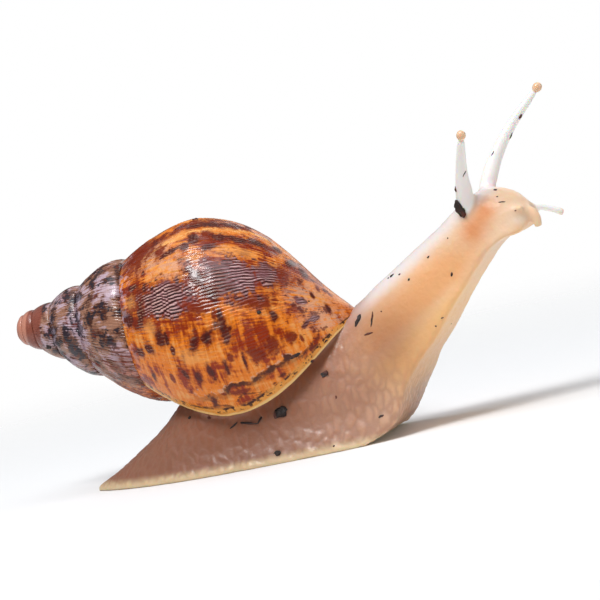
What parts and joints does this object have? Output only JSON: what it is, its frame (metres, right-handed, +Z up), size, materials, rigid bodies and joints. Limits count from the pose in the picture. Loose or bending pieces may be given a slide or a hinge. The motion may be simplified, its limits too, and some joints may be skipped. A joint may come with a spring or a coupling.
{
  "type": "giant african land snail, still life-size model",
  "caption": "Life-size land snail on a flat sole, with a tall spiral shell, raised neck, eye stalks and small feelers.",
  "frame": {"origin": "on the floor under the middle of the body, between the two sides of the flat sole, 61 mm in front of the tip of the tail", "axes": "+X the way the animal faces, +Y its left side, +Z up"},
  "size_m": [0.1478, 0.052, 0.0776],
  "materials": {
    "shell": "glossy horny shell, amber with chestnut flames and fine growth ribs",
    "flesh": "moist translucent cream skin, warmer inside the neck and head",
    "eye": "smooth wet pale orange bulb"
  },
  "bodies": {
    "root": {"shell": "shell", "mantle_collar": "flesh", "tail": "flesh", "foot": "flesh", "neck": "flesh", "head": "flesh", "eye_stalk_right": "flesh", "eye_stalk_left": "flesh", "feeler_right": "flesh", "feeler_left": "flesh", "mouth_lobe_right": "flesh", "mouth_lobe_left": "flesh", "eye_right": "eye", "eye_left": "eye"}
  },
  "joints": []
}
